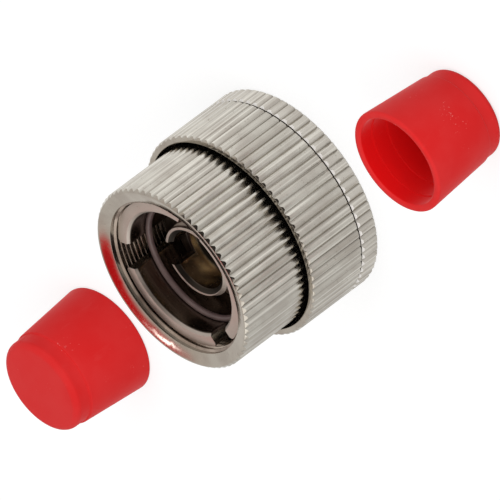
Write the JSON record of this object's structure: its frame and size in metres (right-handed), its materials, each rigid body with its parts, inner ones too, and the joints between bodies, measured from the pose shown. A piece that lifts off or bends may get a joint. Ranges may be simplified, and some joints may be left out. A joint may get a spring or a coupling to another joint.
{
  "type": "variable optical attenuator",
  "caption": "Inline fibre attenuator with a knurled turning collar, a knurled lock ring, a slotted tube, threaded ports with key slots, and its dust caps taken off.",
  "frame": {"origin": "centre of the rear face, in the plane that the attenuator stands on", "axes": "+Z along the attenuator's axis, from the rear port to the open front mouth; the caps stand along Y"},
  "size_m": [0.0224, 0.0919, 0.017],
  "materials": {
    "nickel_body": "nickel plated, bright",
    "nickel_collar": "nickel plated, satin bright",
    "nickel_ring": "nickel plated, satin bright",
    "nickel_barrel": "nickel plated, bright",
    "nickel_inner": "nickel plated",
    "plain_brass": "plain brass",
    "spring_steel": "drawn wire",
    "washer_plastic": "dark moulded nylon",
    "stop_rubber": "smooth rubber",
    "white_ceramic": "polished ceramic",
    "red_plastic": "matte moulded soft plastic"
  },
  "bodies": {
    "body": {"main_body": "nickel_body", "collar_snap_ring": "spring_steel", "thrust_washer": "washer_plastic", "stop_ring": "stop_rubber", "return_spring": "spring_steel", "rear_barrel": "nickel_barrel", "rear_barrel_nut": "nickel_inner", "alignment_pin": "spring_steel", "sleeve_holder": "plain_brass", "holder_nut": "plain_brass", "sleeve_cap": "plain_brass", "split_sleeve": "white_ceramic", "front_cap": "red_plastic", "rear_cap": "red_plastic"},
    "collar": {"adjusting_collar": "nickel_collar"},
    "lock": {"lock_ring": "nickel_ring", "friction_washer": "washer_plastic"},
    "carriage": {"carriage_plate": "nickel_inner", "front_barrel": "nickel_barrel", "carriage_nut": "nickel_inner"}
  },
  "joints": [
    {"name": "collar_turn", "type": "hinge", "parent": "body", "child": "collar", "pos_m": [0, 0, 0.012], "axis": [0, 0, 1], "range_deg": [-2160, 0]},
    {"name": "carriage_slide", "type": "slide", "parent": "body", "child": "carriage", "axis": [0, 0, 1], "range_m": [0, 0.003], "deforming": ["return_spring"]},
    {"name": "lock_turn", "type": "hinge", "parent": "body", "child": "lock", "pos_m": [0, 0, 0.005], "axis": [0, 0, 1], "range_deg": [0, 120]}
  ],
  "couplings": [
    {"joint": "carriage_slide", "follows": "collar_turn", "m_per_rad": -0.00007957}
  ]
}
